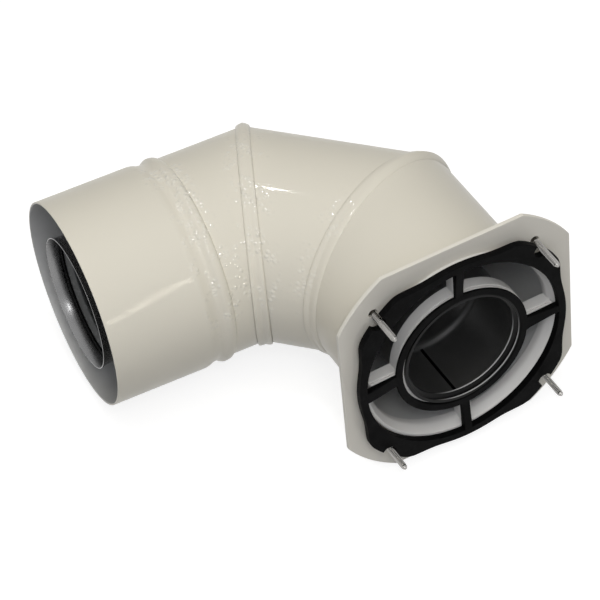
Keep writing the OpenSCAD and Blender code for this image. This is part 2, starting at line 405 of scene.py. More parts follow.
def draw_outline(points, rounds, closed):
    """Draw a wire by extruding one vertex, and round corners by index and radius in millimetres."""
    deselect()
    bpy.ops.mesh.primitive_plane_add(size=MM)
    begin()
    bpy.ops.mesh.merge(type="CENTER")
    bpy.ops.transform.translate(value=points[0])
    for before, after in zip(points, points[1:]):
        bpy.ops.mesh.extrude_region_move(TRANSFORM_OT_translate={"value": after - before})
    if closed:
        ends = (points[0], points[-1])
        pick(lambda spot: min((spot - point).length for point in ends) < PICK_REACH)
        bpy.ops.mesh.edge_face_add()
    for index, radius in rounds.items():
        pick(lambda spot: (spot - points[index]).length < PICK_REACH)
        bpy.ops.mesh.bevel(offset=radius * MM, offset_type="OFFSET", segments=ROUND_STEPS, affect="VERTICES")


def offsets(radius, far, *steps):
    """Outline points at steps in millimetres from one (radius, distance) corner."""
    return [(radius + aside * MM, far + along * MM) for aside, along in steps]


def turn_outline(sizes, origin, axis, outline, rounds=None, closed=False, sides=None):
    """Spin an outline of (radius, distance) pairs round an axis that lies level."""
    side = axis.cross(Vector((0, 0, 1)))
    points = [origin + axis * far + side * radius for radius, far in outline]
    draw_outline(points, rounds or {}, closed)
    bpy.ops.mesh.select_all(action="SELECT")
    bpy.ops.mesh.spin(
        steps=sides or sizes.sides, angle=2 * math.pi, center=origin, axis=axis, use_auto_merge=True)
    tidy()
    return end()


def straight_tube(sizes, radius, middle, angle, length):
    """Open tube with its axis level, at an angle from +Y."""
    deselect()
    bpy.ops.mesh.primitive_cylinder_add(
        vertices=sizes.sides, radius=radius, depth=length, end_fill_type="NOTHING",
        location=middle, rotation=(QUARTER, 0, angle))
    return settle()


def bead_height(share, rise):
    """Height of a bead's outline, from 1 on its middle to 0 at its foot."""
    return (1 - abs(share) ** rise) ** (1 / rise)


def half_bead(sizes, radius, height, width, rise):
    """Half of a mitre ridge: a tube cut into hoops behind the mitre, each hoop widened."""
    steps = 9
    tube = straight_tube(sizes, radius, Vector(), -FIRST_MITRE, STOCK_RADII * radius)
    begin()
    levels = [-width * math.sin(QUARTER * step / steps) for step in range(steps + 1)]
    for level in levels[1:-1]:
        cut(Vector((0, level, 0)), Vector((0, 1, 0)))
    cut(Vector((0, levels[0], 0)), Vector((0, 1, 0)), keep="behind")
    cut(Vector((0, levels[-1], 0)), Vector((0, 1, 0)), keep="ahead")
    axis = heading(-FIRST_MITRE)
    for level in levels:
        grown = 1 + height * bead_height(level / width, rise) / radius
        pick(lambda spot: abs(spot.y - level) < LEVEL_REACH)
        bpy.ops.transform.resize(
            value=(grown, 1, grown), center_override=axis * (level / axis.y))
    end()
    return tube


def mitre_bead(sizes, centre, turn, radius, height, before, after):
    """Ridge round a mitre, from a (width, rise) pair for each of its sides."""
    ridge = half_bead(sizes, radius, height, *before)
    other = half_bead(sizes, radius, height, *after)
    other.scale = (1, -1, 1)
    settle()
    choose(other, ridge)
    bpy.ops.object.join()
    begin()
    tidy()
    pick(lambda spot: min(abs(spot.y + before[0]), abs(spot.y - after[0])) < LEVEL_REACH)
    bpy.ops.mesh.bridge_edge_loops()
    tidy()
    end()
    place(ridge, centre, (0, 0, turn))
    return ridge


def flat_disc(sizes, radius, front, back, square=None):
    """Upright disc between two depths, its sides cut straight where a square is given."""
    deselect()
    bpy.ops.mesh.primitive_circle_add(
        vertices=sizes.sides, radius=radius, fill_type="NGON",
        location=(0, front, 0), rotation=(QUARTER, 0, 0))
    settle()
    begin("FACE")
    if square:
        for side in (Vector((1, 0, 0)), Vector((0, 0, 1))):
            cut(side * square / 2, side, keep="behind")
            cut(-side * square / 2, side, keep="ahead")
    bpy.ops.mesh.select_all(action="SELECT")
    bpy.ops.mesh.extrude_region_move(TRANSFORM_OT_translate={"value": (0, back - front, 0)})
    tidy()
    return end()


def drill(sizes, piece, radius, x, z):
    """Bore a hole along Y."""
    deselect()
    bpy.ops.mesh.primitive_cylinder_add(
        vertices=sizes.sides if radius > WIDE_BORE else HOLE_SIDES, radius=radius,
        depth=DRILL_LENGTH, location=(x, 0, z), rotation=(QUARTER, 0, 0))
    carve(piece, bpy.context.object)


def blend_lengths(first, second, reach):
    """Larger of two lengths with a smooth change between them, or the smaller for a reach below 0."""
    return reach * math.log(math.exp(first / reach) + math.exp(second / reach))


def block(size, location, turn=0.0):
    """Box of a size at a place, turned about Y."""
    deselect()
    bpy.ops.mesh.primitive_cube_add(size=1, location=location, rotation=(0, turn, 0))
    bpy.context.object.scale = size
    return settle()


def fill_outline(points, pull):
    """Solid from a closed outline, pulled out along a vector."""
    draw_outline(points, {}, True)
    bpy.ops.mesh.select_all(action="SELECT")
    bpy.ops.mesh.edge_face_add()
    bpy.ops.mesh.extrude_region_move(TRANSFORM_OT_translate={"value": pull})
    tidy()
    return end()


def spoke_bar(outline, width, rounding):
    """Bar towards +X from an outline of radius and depth, centred on X."""
    bar = fill_outline([Vector((far, deep, -width / 2)) for far, deep in outline], (0, 0, width))
    if rounding:
        soften(bar, rounding, angle=50)
    return bar


def swing(piece, quarters):
    """Turn a piece about Y by quarter turns."""
    place(piece, turn=(0, quarters * QUARTER, 0))


def screw_places():
    """The four screw centres in X and Z."""
    half = SCREW_PITCH / 2
    return [(-half, half), (half, half), (-half, -half), (half, -half)]


def mitres(sizes):
    """First and second mitre points of the centreline."""
    second = MOUTH_CENTRE - sizes.run_in * MOUTH_AXIS
    middle_run = -second.x / math.sin(BEND)
    first = Vector((0, second.y - middle_run * math.cos(BEND), 0))
    return first, second


# Materials


def node(tree, kind, inputs=None, **settings):
    """Add a shader node, with its settings and its input values or links."""
    added = tree.nodes.new(kind)
    for name, value in settings.items():
        setattr(added, name, value)
    for name, value in (inputs or {}).items():
        if isinstance(value, bpy.types.NodeSocket):
            tree.links.new(value, added.inputs[name])
        else:
            added.inputs[name].default_value = value
    return added


def start_material(name):
    """New material with an empty tree and the object's own coordinates."""
    material = bpy.data.materials.new(name)
    material.use_nodes = True
    tree = material.node_tree
    tree.nodes.clear()
    where = node(tree, "ShaderNodeTexCoord").outputs["Object"]
    return material, tree, where


def shade(tree, inputs):
    """Principled surface joined to the output."""
    surface = node(tree, "ShaderNodeBsdfPrincipled", inputs)
    node(tree, "ShaderNodeOutputMaterial", {"Surface": surface.outputs[0]})


def noise(tree, where, scale, detail=2.0):
    """Noise between 0 and 1, with its scale in turns for each metre."""
    return node(
        tree, "ShaderNodeTexNoise", {"Vector": where, "Scale": scale, "Detail": detail}).outputs[0]


def math_node(tree, operation, first, second=0.0):
    """One sum on two numbers or sockets."""
    return node(tree, "ShaderNodeMath", {0: first, 1: second}, operation=operation).outputs[0]


def vector_node(tree, operation, first, second=(0, 0, 0), output="Value"):
    """One sum on two vectors or sockets."""
    return node(tree, "ShaderNodeVectorMath", {0: first, 1: second}, operation=operation).outputs[output]


def largest(tree, shares):
    """Largest of several shares."""
    total = shares[0]
    for share in shares[1:]:
        total = math_node(tree, "MAXIMUM", total, share)
    return total


def spread(tree, value, low, high, start, stop, kind="LINEAR"):
    """Map a value from one range to another."""
    return node(
        tree, "ShaderNodeMapRange",
        {"Value": value, "From Min": low, "From Max": high, "To Min": start, "To Max": stop},
        interpolation_type=kind).outputs[0]


def fade(tree, value, low, high, start=1, stop=0):
    """Map a value softly from one range to another, falling from 1 to 0 unless told otherwise."""
    return spread(tree, value, low, high, start, stop, "SMOOTHSTEP")


def blend_colours(tree, share, first, second):
    """Mix two colours by a share."""
    mixed = node(tree, "ShaderNodeMix", data_type="RGBA")
    tree.links.new(share, mixed.inputs[0])
    for slot, colour in zip(MIX_COLOUR_INPUTS, (first, second)):
        if isinstance(colour, bpy.types.NodeSocket):
            tree.links.new(colour, mixed.inputs[slot])
        else:
            mixed.inputs[slot].default_value = (*colour, 1)
    return mixed.outputs[MIX_COLOUR_OUTPUT]


def mottle(tree, where, colour, scale, detail, share):
    """Colour with soft patches at a share of its brightness."""
    darker = tuple(share * channel for channel in colour)
    return blend_colours(tree, noise(tree, where, scale, detail), colour, darker)


def uneven(tree, where, scale, detail, low, high):
    """Roughness that drifts between two values."""
    return spread(tree, noise(tree, where, scale, detail), *NOISE_RANGE, low, high)


def bump(tree, height):
    """Surface relief from a height in millimetres."""
    return node(tree, "ShaderNodeBump", {"Height": height, "Distance": MM}).outputs[0]


def grainy(tree, where, scale, depth):
    """Fine relief of a depth in millimetres."""
    return bump(tree, math_node(tree, "MULTIPLY", noise(tree, where, scale), depth))


def background_rays(tree):
    """1 for rays that show the background: from the camera, off a gloss or through glass."""
    path = node(tree, "ShaderNodeLightPath").outputs
    return largest(tree, [path["Is Camera Ray"], path["Is Glossy Ray"], path["Is Transmission Ray"]])


def near_planes(tree, where, planes, reach):
    """1 on any of the planes, falling to 0 at a reach from it."""
    shares = []
    for centre, normal in planes:
        offset = vector_node(tree, "SUBTRACT", where, centre, "Vector")
        away = math_node(tree, "ABSOLUTE", vector_node(tree, "DOT_PRODUCT", offset, normal))
        shares.append(fade(tree, away, 0.3 * reach, reach))
    return largest(tree, shares)


def paint_lumps(tree, where, planes):
    """Lumps from 0 to 1, in patches beside the planes and only at the front of the bend."""
    drops = node(
        tree, "ShaderNodeTexVoronoi", {"Vector": where, "Scale": LUMP_SCALE, "Randomness": 1.0},
        feature="F1").outputs["Distance"]
    away = vector_node(tree, "DISTANCE", where, LUMP_CENTRE)
    lumps = fade(tree, noise(tree, where, LUMP_PATCH_SCALE, 1), low=0.4, high=0.58, start=0, stop=1)
    for share in (
            near_planes(tree, where, planes, LUMP_BAND),
            fade(tree, away, *LUMP_REACH),
            fade(tree, drops, low=0.0, high=0.6)):
        lumps = math_node(tree, "MULTIPLY", lumps, share)
    return lumps


def stove_paint(name, thick, thin, planes, peel=FINE_PEEL):
    """Glossy stove paint: orange peel all over, and lumps that gather beside the beads."""
    material, tree, where = start_material(name)
    height = math_node(tree, "MULTIPLY", noise(tree, where, PEEL_SCALE, 1), peel)
    coat = {"Coat Weight": 0.25}
    if planes:
        lumps = paint_lumps(tree, where, planes)
        height = math_node(tree, "ADD", height, math_node(tree, "MULTIPLY", lumps, LUMP_HEIGHT))
        coat = {
            "Coat Weight": spread(tree, lumps, low=0.0, high=0.15, start=0.25, stop=0.75),
            "Coat IOR": spread(tree, lumps, low=0.0, high=0.15, start=1.5, stop=1.9)}
    relief = bump(tree, height)
    shade(tree, {
        "Base Color": blend_colours(tree, noise(tree, where, scale=22, detail=3), thick, thin),
        "Roughness": uneven(tree, where, scale=60, detail=2, low=0.36, high=0.42),
        "Normal": relief,
        "Specular IOR Level": 0.05,
        "Coat Roughness": 0.06,
        "Coat Normal": relief,
        **coat,
    })
    return material


def casting_paint(name, colour):
    """Satin pale casting with a slight sand texture."""
    material, tree, where = start_material(name)
    shade(tree, {
        "Base Color": mottle(tree, where, colour, scale=90, detail=3, share=0.9),
        "Roughness": uneven(tree, where, scale=300, detail=2, low=0.38, high=0.5),
        "Normal": grainy(tree, where, scale=900, depth=0.02),
    })
    return material


def near_rings(tree, where, rings, reach):
    """1 on any ring round the Y axis, given by radius and depth, falling to 0 at a reach from it."""
    spot = node(tree, "ShaderNodeSeparateXYZ", {0: where}).outputs
    flat = node(tree, "ShaderNodeCombineXYZ", {"X": spot["X"], "Y": spot["Z"]}).outputs[0]
    radius = vector_node(tree, "LENGTH", flat)
    section = node(tree, "ShaderNodeCombineXYZ", {"X": radius, "Y": spot["Y"]}).outputs[0]
    shares = []
    for ring in rings:
        away = vector_node(tree, "DISTANCE", section, (*ring, 0))
        shares.append(fade(tree, away, 0.4 * reach, reach))
    return largest(tree, shares)


def rubber(name, colour, rough_low, rough_high, grain, gloss, painted_glint=None):
    """Moulded rubber with a dusty grain, and a painted glint on rings of it towards one side."""
    material, tree, where = start_material(name)
    dusty = tuple(channel * 2 + 0.001 for channel in colour)
    dust = fade(tree, noise(tree, where, scale=500, detail=4), low=0.5, high=0.75, start=0, stop=1)
    base = blend_colours(tree, dust, colour, dusty)
    if painted_glint:
        rings, painted_lip_glint = painted_glint
        # Painted glint: the lip tips turn pale on the side where light would glint off them.
        towards = vector_node(tree, "DOT_PRODUCT", where, PAINTED_GLINT_SIDE)
        side = fade(tree, towards, *PAINTED_GLINT_REACH, start=0, stop=1)
        glint_share = math_node(tree, "MULTIPLY", near_rings(tree, where, rings, PAINTED_GLINT_WIDTH), side)
        base = blend_colours(tree, glint_share, base, painted_lip_glint)
    shade(tree, {
        "Base Color": base,
        "Roughness": uneven(tree, where, scale=140, detail=3, low=rough_low, high=rough_high),
        "Normal": grainy(tree, where, scale=1100, depth=grain),
        "Specular IOR Level": gloss,
    })
    return material


def bare_sheet(name, colour):
    """Dull zinc-coated sheet with soft patches and a fine grain."""
    material, tree, where = start_material(name)
    shade(tree, {
        "Base Color": mottle(tree, where, colour, scale=70, detail=3, share=0.82),
        "Metallic": 0.1,
        "Roughness": uneven(tree, where, scale=260, detail=2, low=0.42, high=0.56),
        "Normal": grainy(tree, where, scale=1300, depth=0.006),
    })
    return material


def in_lap(tree, where):
    """1 in the lap seam's gap along the underside of the inlet socket, 0 beside it."""
    spot = node(tree, "ShaderNodeSeparateXYZ", {"Vector": where}).outputs
    aside = math_node(tree, "ABSOLUTE", math_node(tree, "SUBTRACT", spot["X"], LAP_PLACE.x))
    inside = spread(tree, aside, 0.5 * LAP_WIDTH, 0.7 * LAP_WIDTH, start=1, stop=0)
    for height, low, high in ((spot["Z"], -MM, 0.0), (spot["Y"], LAP_LENGTH, LAP_LENGTH + 0.5 * MM)):
        inside = math_node(tree, "MULTIPLY", inside, spread(tree, height, low, high, start=1, stop=0))
    return inside


def drawn_metal(name, colour, roughness, axis, painted_lap_shade=None, scratch_depth=SCRATCH_DEPTH):
    """Drawn metal with fine scratches along an axis, dull patches and perhaps painted shade in its lap
    seam's gap.
    """
    material, tree, where = start_material(name)
    squeeze = tuple(1 - SCRATCH_STRETCH * abs(part) for part in axis)
    scratch = noise(tree, vector_node(tree, "MULTIPLY", where, squeeze, "Vector"), SCRATCH_SCALE, 3)
    base = mottle(tree, where, colour, scale=45, detail=4, share=0.72)
    # Painted shade: the lap seam's gap is coloured near black, standing in for the shade inside it.
    if painted_lap_shade:
        base = blend_colours(tree, in_lap(tree, where), base, painted_lap_shade)
    shade(tree, {
        "Base Color": base,
        "Metallic": 1.0,
        "Roughness": spread(tree, scratch, *NOISE_RANGE, *roughness),
        "Normal": bump(tree, math_node(tree, "MULTIPLY", scratch, scratch_depth)),
    })
    return material


# Operators


class ElbowPart:
    """What every operator of the elbow shares."""

    bl_options = {"REGISTER", "UNDO"}

    def parts(self, context):
        """Sizes and colours from the panel."""
        return context.scene.elbow_sizes, context.scene.elbow_finish

    def paint(self, finish, sizes, name="cream_stove_paint", peel=FINE_PEEL):
        """The duct's paint, made once for each depth of its orange peel in millimetres."""
        made = bpy.data.materials.get(name)
        if made:
            return made
        first, second = mitres(sizes)
        planes = [
            (first, heading(FIRST_MITRE)), (second, heading(SECOND_MITRE)),
            (second + MOUTH_AXIS * (sizes.joint + 2 * MM), MOUTH_AXIS)]
        return stove_paint(name, finish.cream, finish.cream_thin, planes, peel)

    def lining(self, finish):
        """The bare sheet inside the duct, made once."""
        made = bpy.data.materials.get("bare_duct_sheet")
        return made or bare_sheet("bare_duct_sheet", finish.bare)


class ELBOW_OT_collar(ElbowPart, bpy.types.Operator):
    """Spin the collar with its neck, and the bead over its joint"""

    bl_idname = "elbow.collar"
    bl_label = "Collar"

    def execute(self, context):
        sizes, finish = self.parts(context)
        second = mitres(sizes)[1]
        neck = sizes.run_in - sizes.collar_length
        collar = turn_outline(
            sizes, second, MOUTH_AXIS,
            [(DUCT_RADIUS, sizes.joint), (DUCT_RADIUS, neck - sizes.neck_length),
             (COLLAR_RADIUS, neck), (COLLAR_RADIUS, sizes.run_in - 2 * MM), (COLLAR_RADIUS, sizes.run_in)],
            rounds={1: 1.6, 2: 1.6})
        paint = self.paint(finish, sizes, "collar_stove_paint", COLLAR_PEEL)
        thicken(collar, sizes.collar_sheet, (paint, self.lining(finish)))
        soften(collar, 0.3 * MM, angle=60)
        smooth(collar)
        hand_over(collar, "collar", ELBOW, paint, ["air_collar"])
        bead = turn_outline(sizes, second, MOUTH_AXIS, self.bead_outline(sizes), closed=True)
        smooth(bead, angle=60)
        hand_over(bead, "joint_bead", ELBOW, self.paint(finish, sizes), ["collar_bead"])
        return {"FINISHED"}

    def bead_outline(self, sizes):
        """Steep foot on the gore's side, long fillet on the collar's side."""
        foot, crest, toe = (sizes.joint + far for far in (-3 * MM, 0.4 * MM, 4.6 * MM))
        height = 1.1 * sizes.bead_height
        steps = 8
        rising = [
            (DUCT_RADIUS + height * bead_height(1 - step / steps, 2), foot + (crest - foot) * step / steps)
            for step in range(steps)]
        falling = [
            (DUCT_RADIUS + height * math.cos(QUARTER * step / steps) ** 2,
             crest + (toe - crest) * step / steps)
            for step in range(steps + 1)]
        under = DUCT_RADIUS - 0.3 * MM
        return [*rising, *falling, (under, toe), (under, foot)]


class ELBOW_OT_gores(ElbowPart, bpy.types.Operator):
    """Cut the three duct sections to their mitres"""

    bl_idname = "elbow.gores"
    bl_label = "Duct sections"

    def execute(self, context):
        sizes, finish = self.parts(context)
        first, second = mitres(sizes)
        low, high = heading(FIRST_MITRE), heading(SECOND_MITRE)
        joint = second + MOUTH_AXIS * sizes.joint
        plans = (
            ("short_gore", "air_gore_1", second, 2 * BEND,
             ((second, high, "ahead"), (joint, MOUTH_AXIS, "behind"))),
            ("middle_gore", "air_gore_2", (first + second) / 2, BEND,
             ((first, low, "ahead"), (second, high, "behind"))),
            ("outlet_section", "air_outlet", first, 0,
             ((Vector(), heading(0), "ahead"), (first, low, "behind"))))
        for name, cad_node, middle, angle, cuts in plans:
            tube = straight_tube(sizes, DUCT_RADIUS, middle, angle, STOCK_RADII * DUCT_RADIUS)
            trim(*cuts)
            paint = self.paint(finish, sizes)
            thicken(tube, sizes.sheet, (paint, self.lining(finish)))
            smooth(tube)
            hand_over(tube, name, ELBOW, paint, [cad_node])
        return {"FINISHED"}


class ELBOW_OT_mitre_beads(ElbowPart, bpy.types.Operator):
    """Raise the two ridges along the mitres"""

    bl_idname = "elbow.mitre_beads"
    bl_label = "Mitre beads"

    def execute(self, context):
        sizes, finish = self.parts(context)
        first, second = mitres(sizes)
        half = sizes.bead_width / 2
        plans = (
            ("standing_bead", "mitre_bead_2", second, SECOND_MITRE, 1.0, (half, 3.0), (half, 3.0)),
            ("soft_bead", "mitre_bead_3", first, FIRST_MITRE, 0.9, (1.2 * half, 1.5), (half, 2.6)))
        for name, cad_node, centre, turn, share, before, after in plans:
            ring = mitre_bead(
                sizes, centre, turn, DUCT_RADIUS - OVERLAP, share * sizes.bead_height, before, after)
            smooth(ring, angle=60)
            hand_over(ring, name, ELBOW, self.paint(finish, sizes), [cad_node])
        return {"FINISHED"}


class ELBOW_OT_flange(ElbowPart, bpy.types.Operator):
    """Cut the square plate, its bore and its screw holes"""

    bl_idname = "elbow.flange"
    bl_label = "Flange plate"

    def execute(self, context):
        sizes, finish = self.parts(context)
        plate = flat_disc(
            sizes, sizes.plate_corner, PLATE_LOW.y, PLATE_HIGH.y, PLATE_HIGH.x - PLATE_LOW.x)
        drill(sizes, plate, DUCT_RADIUS + FIT, 0, 0)
        for x, z in screw_places():
            drill(sizes, plate, sizes.hole_radius, x, z)
        soften(plate, 0.6 * MM)
        smooth(plate)
        # The plate's paint is a paler copy of the duct's cream, as painted light for its dimmer face.
        thin = [0.94 * channel for channel in finish.flange]
        paint = stove_paint("flange_stove_paint", finish.flange, thin, [])
        hand_over(plate, "flange", ELBOW, paint, ["flange_plate"])
        return {"FINISHED"}


class ELBOW_OT_spider(ElbowPart, bpy.types.Operator):
    """Spin the spider's two rings and join them with four spokes"""

    bl_idname = "elbow.spider"
    bl_label = "Spider"

    def execute(self, context):
        sizes, finish = self.parts(context)
        front, back = SPIDER_LOW.y, SPIDER_HIGH.y
        rim = SPIDER_HIGH.x - MM
        inside = DUCT_RADIUS - sizes.sheet - FIT
        flared = sizes.window_radius + sizes.window_flare
        spider = turn_outline(
            sizes, Vector(), heading(0),
            [(flared, front), (rim, front), (rim, 0.0), (inside, 0.0), (inside, back),
             (sizes.window_radius, back), (sizes.window_radius, 0.5 * MM)],
            rounds={0: 0.5, 1: 0.4, 5: 0.3, 6: 1}, closed=True)
        carve(spider, self.hub(sizes, back), "UNION")
        layers = (
            (front + sizes.rim_set, sizes.rim_depth, sizes.spoke_width, 0.3 * MM),
            (front + sizes.rim_set + 0.5 * MM, 2 * sizes.rim_depth, sizes.spoke_width - 1.4 * MM, 0.0),
            (front + sizes.rim_set + 2 * sizes.rim_depth, None, sizes.spoke_width, 0.4 * MM))
        near, far = sizes.ring_radius - MM, sizes.window_radius + 0.7 * MM
        for quarter in range(4):
            for start, depth, width, rounding in layers:
                stop = start + depth if depth else back - 0.1 * MM
                bar = spoke_bar([(near, start), (far, start), (far, stop), (near, stop)], width, rounding)
                swing(bar, quarter)
                carve(spider, bar, "UNION")
        smooth(spider)
        hand_over(
            spider, "pale_spider", ELBOW,
            casting_paint("pale_casting_paint", finish.casting), ["spider"])
        return {"FINISHED"}

    def hub(self, sizes, back):
        """Inner ring with a groove behind its front rim."""
        bore = SOCKET_RADIUS + sizes.sheet + FIT
        front = SPIDER_LOW.y + sizes.rim_set
        ring, rim = sizes.ring_radius, sizes.rim_depth
        edge, groove = ring - 0.1 * MM, ring - 0.8 * MM
        return turn_outline(
            sizes, Vector(), heading(0),
            [(bore, front), (edge, front), (edge, front + rim), (groove, front + 1.2 * rim),
             (groove, front + 1.7 * rim), (ring, front + 2 * rim), (ring, back), (bore, back)],
            rounds={1: 0.3, 2: 0.15, 5: 0.2, 6: 0.3}, closed=True)


class ELBOW_OT_gasket(ElbowPart, bpy.types.Operator):
    """Cut the rubber sheet, spin its ring and lay the four strips between them"""

    bl_idname = "elbow.gasket"
    bl_label = "Gasket"

    def execute(self, context):
        sizes, finish = self.parts(context)
        front, back = GASKET_LOW.y, SPIDER_LOW.y
        window = sizes.window_radius + sizes.window_flare + 0.8 * MM
        sheet = self.blank(sizes, front, back)
        drill(sizes, sheet, window, 0, 0)
        for x, z in screw_places():
            drill(sizes, sheet, sizes.notch_radius, x, z)
        soften(sheet, 0.5 * MM)
        hole = SOCKET_RADIUS + sizes.sheet + 0.2 * MM
        ring = sizes.ring_radius + 0.8 * MM
        seat = SPIDER_LOW.y + sizes.rim_set
        hub = turn_outline(
            sizes, Vector(), heading(0),
            [(hole, front + sizes.ring_set), (ring, front + sizes.ring_set), (ring, seat - MM),
             (sizes.ring_radius, seat), (hole, seat)],
            rounds={0: 0.5, 1: 0.5}, closed=True)
        carve(sheet, hub, "UNION")
        for quarter, hang in enumerate(STRIP_HANGS):
            strip = self.strip(sizes, ring, window, front, hang)
            swing(strip, quarter)
            carve(sheet, strip, "UNION")
        smooth(sheet)
        place(sheet, GASKET_SHIFT)
        black = rubber(
            "gasket_black_rubber", finish.rubber, rough_low=0.5, rough_high=0.65, grain=0.02, gloss=0.04)
        hand_over(sheet, "rubber_gasket", ELBOW, black, ["gasket"])
        return {"FINISHED"}

    def blank(self, sizes, front, back):
        """Sheet before its holes: a disc that swells into a rounded square round the screws."""
        sides = 2 * sizes.sides
        outline = []
        for step in range(sides):
            angle = 2 * math.pi * step / sides
            x, z = math.cos(angle), math.sin(angle)
            square = sizes.gasket_side / 2 / max(abs(x), abs(z))
            lobe = blend_lengths(square, sizes.gasket_corner, -sizes.gasket_blend)
            reach = blend_lengths(lobe, sizes.gasket_disc, sizes.gasket_blend)
            outline.append(Vector((x * reach, front, z * reach)))
        return fill_outline(outline, (0, back - front, 0))

    def strip(self, sizes, ring, window, front, hang):
        """Sloping strip towards +X: its sideways hang and its flare at the outer and inner end."""
        outer_hang, inner_hang, outer_flare, inner_flare = hang
        stations = 8
        inner, outer = ring - 1.8 * MM, window + MM
        back = SPIDER_LOW.y + sizes.rim_set - OVERLAP
        line = []
        for step in range(stations + 1):
            share = step / stations
            fall = sizes.ring_set * (1 - min(1, max(0, (share - STRIP_FLAT) / (1 - 2 * STRIP_FLAT))))
            line.append((inner + (outer - inner) * share, front + OVERLAP + fall))
        bar = spoke_bar([*line, *((far, back) for far, deep in reversed(line))], sizes.strip_width, 0)
        begin()
        for far, deep in line:
            share = (outer - far) / (outer - inner)
            pick(lambda spot: abs(spot.x - far) < PICK_REACH)
            flare = outer_flare + (inner_flare - outer_flare) * share ** 3
            hung = outer_hang + (inner_hang - outer_hang) * share ** 2
            bpy.ops.transform.resize(value=(1, 1, flare), center_override=(far, deep, 0))
            bpy.ops.transform.translate(value=(0, 0, hung))
        end()
        soften(bar, 0.4 * MM, angle=50)
        return bar


class ELBOW_OT_seals(ElbowPart, bpy.types.Operator):
    """Spin the lip seals of the flue's two sockets"""

    bl_idname = "elbow.seals"
    bl_label = "Lip seals"

    def execute(self, context):
        sizes, finish = self.parts(context)
        grey = rubber(
            "mouth_grey_rubber", finish.mouth_lip, rough_low=0.3, rough_high=0.42, grain=0.004, gloss=0.4)
        rim = SOCKET_RADIUS + sizes.sheet
        back = SPIDER_LOW.y + sizes.ring_set + 0.5 * MM
        tips = offsets(rim, back, (-1.72, -3.3), (-3.05, -0.3))
        # The inlet seal's lip tips get a painted glint on one side.
        painted_glint = rubber(
            "lip_rubber_with_painted_glint", finish.lip, rough_low=0.28, rough_high=0.4, grain=0.004, gloss=0.12,
            painted_glint=(tips, finish.painted_lip_glint))
        outline = offsets(
            rim, back, (0, -3.6), (0, 0), (-1.25, 0), (-2.65, 0.4), (-3.15, 0), (-2.95, -0.6),
            (-0.95, -1.8), (-0.95, -2.3), (-1.75, -3), (-1.65, -3.6))
        inlet = turn_outline(
            sizes, Vector(), heading(0), outline,
            rounds={3: 0.2, 4: 0.2, 5: 0.2, 8: 0.25, 9: 0.25}, closed=True)
        smooth(inlet)
        hand_over(inlet, "inlet_lip", ELBOW, painted_glint, ["inlet_seal"])
        second = mitres(sizes)[1]
        mouth = sizes.run_in - sizes.mouth_back
        seat = sizes.mouth_radius - sizes.sheet - FIT
        lip = SOCKET_RADIUS - 0.2 * MM
        outline = [
            *offsets(seat, mouth, (0, -12.3), (0, -8.6), (-0.8, -8.2)),
            *offsets(lip, mouth, (0, -10.6), (0, -11.4)),
            *offsets(seat, mouth, (-1.8, -12), (-1.8, -12.3))]
        ring = turn_outline(
            sizes, second, MOUTH_AXIS, outline, rounds={2: 0.4, 3: 0.3, 4: 0.3}, closed=True)
        smooth(ring)
        hand_over(ring, "mouth_lip", ELBOW, grey, ["mouth_seal"])
        return {"FINISHED"}


